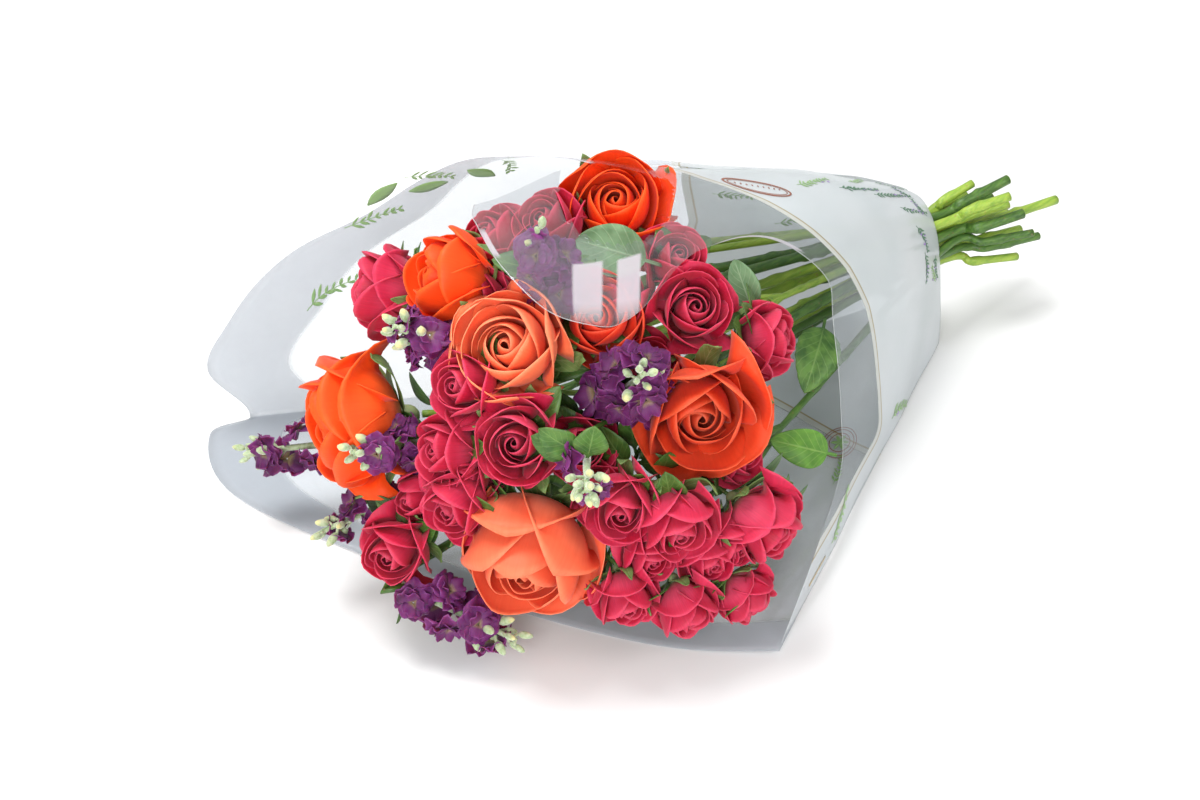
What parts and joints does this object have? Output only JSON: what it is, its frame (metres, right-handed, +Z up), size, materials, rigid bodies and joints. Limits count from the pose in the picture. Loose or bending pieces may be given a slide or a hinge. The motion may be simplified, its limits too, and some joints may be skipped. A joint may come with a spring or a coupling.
{
  "type": "rose bouquet",
  "caption": "Lying cut-flower bouquet of large coral and orange roses, pink spray roses and purple stock in a printed clear film sleeve.",
  "frame": {"origin": "middle of the underside of the lying bouquet's bounding box, on the surface it rests on", "axes": "+X along the bunch to the cut stem ends, +Z up, blooms at -X, the dressed side faces -X -Y and up"},
  "size_m": [0.5546, 0.3838, 0.23],
  "materials": {
    "petal_coral": "velvety coral petals, salmon on the outer petals, deeper towards the heart",
    "petal_orange": "velvety vivid orange petals, redder in the folds",
    "petal_pink": "velvety deep pink petals with paler rims and dark hearts",
    "stock_floret": "soft ruffled purple petals, lighter at the edges",
    "stem_green": "fresh satin yellow-green stalk with nodes",
    "stem_dark_green": "satin dark green stalk",
    "leaf_green": "satin green leaf with veins",
    "leaf_grey_green": "matte grey-green leaf and furry buds",
    "sleeve_film": "glossy thin clear film, hazy grey in folds, with an opaque pale blue-white printed lower part",
    "tie_rubber": "plain tan rubber band"
  },
  "bodies": {
    "root": {"leaf_grey_green": "leaf_grey_green", "leaf_pale": "leaf_grey_green", "leaf_rose_bright": "leaf_green", "leaf_rose_dark": "leaf_green", "rose_coral_front": "petal_coral", "rose_coral_middle": "petal_coral", "rose_coral_right": "petal_coral", "rose_orange_back": "petal_orange", "rose_orange_left": "petal_orange", "rose_orange_top": "petal_orange", "rose_pink_1": "petal_pink", "rose_pink_10": "petal_pink", "rose_pink_11": "petal_pink", "rose_pink_12": "petal_pink", "rose_pink_13": "petal_pink", "rose_pink_14": "petal_pink", "rose_pink_15": "petal_pink", "rose_pink_16": "petal_pink", "rose_pink_17": "petal_pink", "rose_pink_18": "petal_pink", "rose_pink_19": "petal_pink", "rose_pink_2": "petal_pink", "rose_pink_20": "petal_pink", "rose_pink_3": "petal_pink", "rose_pink_4": "petal_pink", "rose_pink_5": "petal_pink", "rose_pink_6": "petal_pink", "rose_pink_7": "petal_pink", "rose_pink_8": "petal_pink", "rose_pink_9": "petal_pink", "rose_red_middle": "petal_orange", "rubber_band": "tie_rubber", "sleeve_back_panel": "sleeve_film", "sleeve_front_panel": "sleeve_film", "stem_rose_1": "stem_green", "stem_rose_2": "stem_green", "stem_rose_3": "stem_green", "stem_rose_4": "stem_green", "stem_rose_5": "stem_green", "stem_rose_6": "stem_green", "stem_rose_7": "stem_green", "stem_spray_1": "stem_green", "stem_spray_2": "stem_green", "stem_spray_3": "stem_green", "stem_spray_4": "stem_green", "stem_spray_5": "stem_green", "stem_stock_1": "stem_dark_green", "stem_stock_2": "stem_dark_green", "stem_stock_3": "stem_dark_green", "stem_stock_4": "stem_dark_green", "stem_stock_5": "stem_dark_green", "stock_spike_1": "stock_floret", "stock_spike_2": "stock_floret", "stock_spike_3": "stock_floret", "stock_spike_4": "stock_floret", "stock_spike_5": "stock_floret", "stock_spike_6": "stock_floret", "stock_spike_7": "stock_floret", "stock_spike_8": "stock_floret"}
  },
  "joints": []
}
